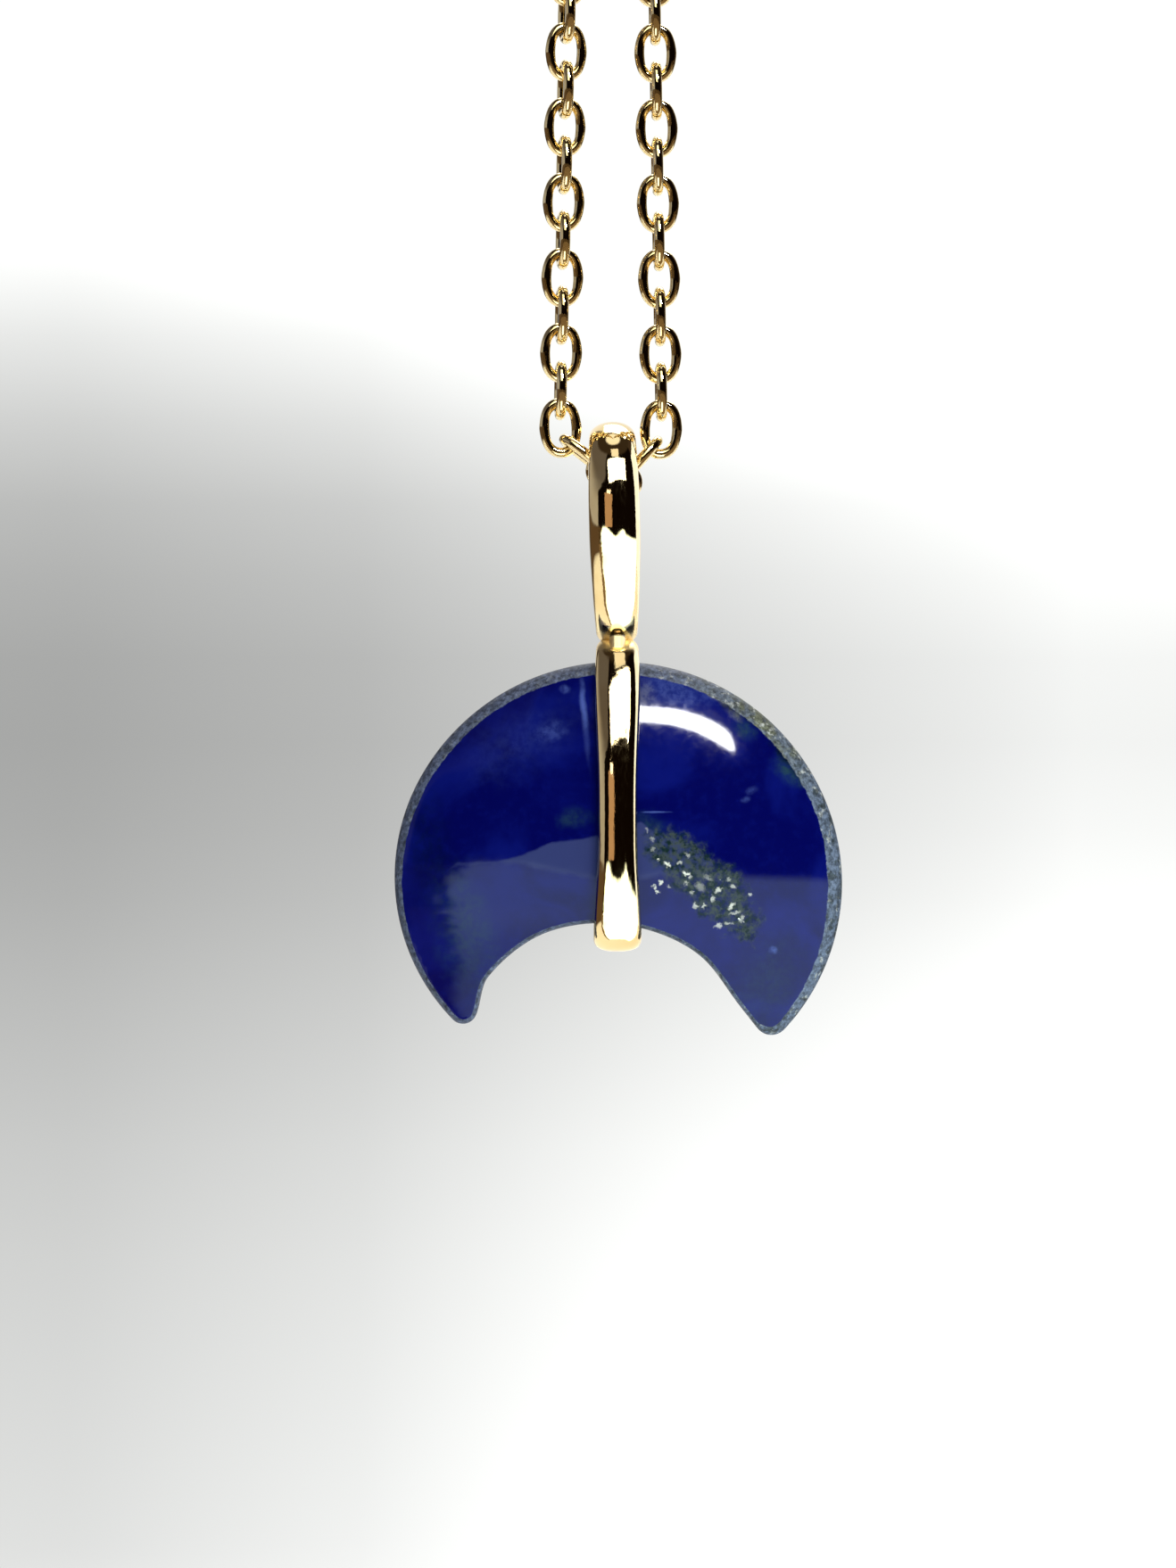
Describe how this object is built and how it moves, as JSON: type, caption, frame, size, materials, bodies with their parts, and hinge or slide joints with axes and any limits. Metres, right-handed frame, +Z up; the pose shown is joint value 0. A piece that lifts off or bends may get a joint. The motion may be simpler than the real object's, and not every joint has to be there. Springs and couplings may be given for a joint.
{
  "type": "crescent moon pendant necklace",
  "caption": "Polished blue stone crescent, horns down, in a gold bail and band, on a fine gold cable chain that hangs doubled from its spring-ring clasp.",
  "frame": {"origin": "inner top of the clasp's ring, where a peg or finger carries the necklace", "axes": "+Z is up, the chain and pendant hang down along -Z, +X is to the viewer's right, and the crescent's front faces -Y"},
  "size_m": [0.0151, 0.0057, 0.2249],
  "materials": {
    "lapis": "polished lapis lazuli",
    "gold": "polished gold plate",
    "chain_gold": "bright gold plate"
  },
  "bodies": {
    "chain": {"chain_links": "chain_gold", "chain_strands": "chain_gold", "clasp": "gold", "end_ring": "gold"},
    "pendant": {"setting": "gold", "stone": "lapis"}
  },
  "joints": [
    {"name": "pendant_swing", "type": "hinge", "parent": "chain", "child": "pendant", "pos_m": [0, 0, -0.20527], "axis": [1, 0, 0], "range_deg": [-60, 60]}
  ]
}
